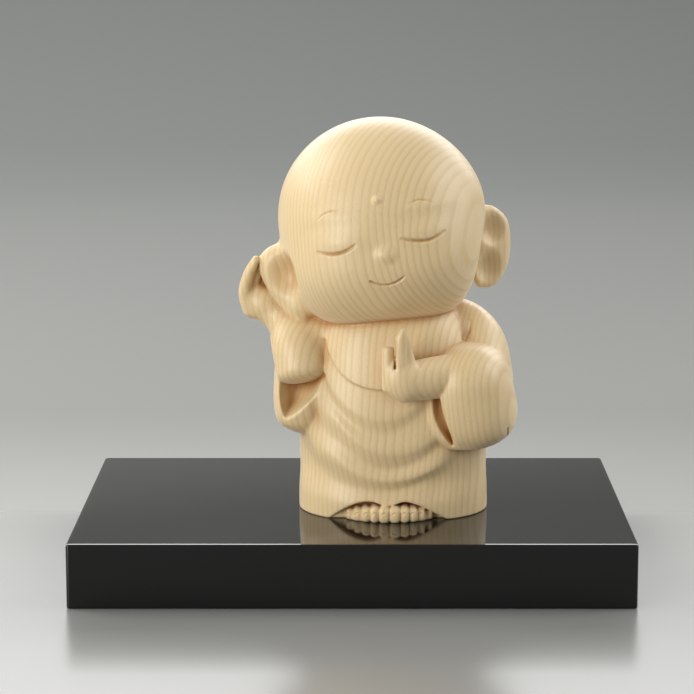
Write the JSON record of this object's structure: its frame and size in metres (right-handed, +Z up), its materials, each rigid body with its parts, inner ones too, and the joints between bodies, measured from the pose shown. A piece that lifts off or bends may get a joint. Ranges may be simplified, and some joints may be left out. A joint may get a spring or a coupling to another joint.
{
  "type": "jizo statue",
  "caption": "Carved wooden child monk with a large tilted head and closed eyes, one hand cupped behind an ear and one raised before the chest, on a black lacquered board.",
  "frame": {"origin": "middle of the plinth's underside", "axes": "+Z up, the figure faces -Y, +X to the viewer's right along the plinth's long side"},
  "size_m": [0.212, 0.152, 0.1772],
  "materials": {
    "carved_softwood": "satin, knife carved and smoothed",
    "black_lacquer": "high gloss lacquer"
  },
  "bodies": {
    "root": {"jizo_figure": "carved_softwood", "lacquer_plinth": "black_lacquer"}
  },
  "joints": []
}
